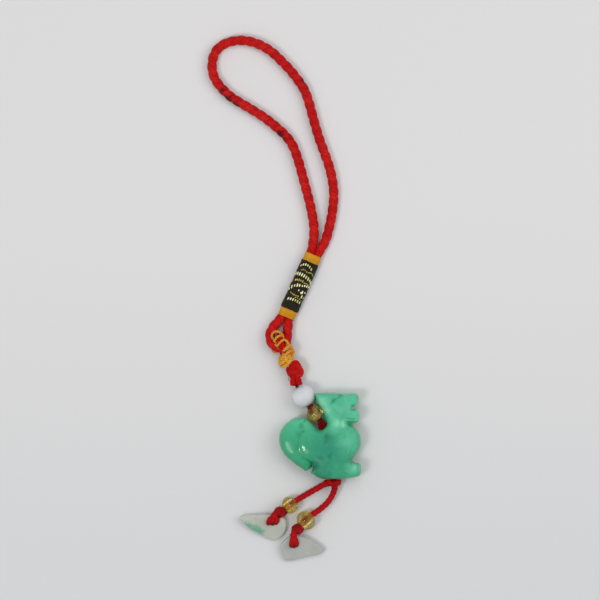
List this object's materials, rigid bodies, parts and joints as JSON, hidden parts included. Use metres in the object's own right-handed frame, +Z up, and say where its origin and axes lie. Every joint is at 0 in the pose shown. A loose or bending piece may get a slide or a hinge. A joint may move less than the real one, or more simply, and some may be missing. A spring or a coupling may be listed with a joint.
{
  "type": "jade animal pendant on a cord loop",
  "caption": "Carved jade animal charm hung from a red braided hand loop with a brocade sleeve, glass beads, knots and small stone chips.",
  "frame": {"origin": "middle of the jade figure's width and height, on its flat back, which lies on the surface", "axes": "+Z up from the surface, out of the jade's front; +Y from the jade towards the hand loop; +X to the right as seen from above, the way the animal faces"},
  "size_m": [0.0508, 0.1754, 0.008],
  "materials": {
    "braid": "satin",
    "brocade": "satin",
    "gold_thread": "satin",
    "thin_cord": "satin",
    "white_stone": "gloss",
    "amber_glass": "gloss",
    "jade": "gloss",
    "chip_stone": "gloss"
  },
  "bodies": {
    "root": {"braided_cord": "braid", "brocade_sleeve": "brocade", "upper_binding": "gold_thread", "lower_binding": "gold_thread", "link_cord": "thin_cord", "gold_lashing": "gold_thread", "gold_knot": "gold_thread", "red_knot": "thin_cord", "white_bead": "white_stone", "neck_bead": "amber_glass", "bead_cord": "thin_cord", "jade_figure": "jade", "stopper_knot": "thin_cord", "left_tail_cord": "thin_cord", "left_bead": "amber_glass", "left_knot": "thin_cord", "left_chip": "chip_stone", "right_tail_cord": "thin_cord", "right_bead": "amber_glass", "right_knot": "thin_cord", "right_chip": "chip_stone"}
  },
  "joints": []
}
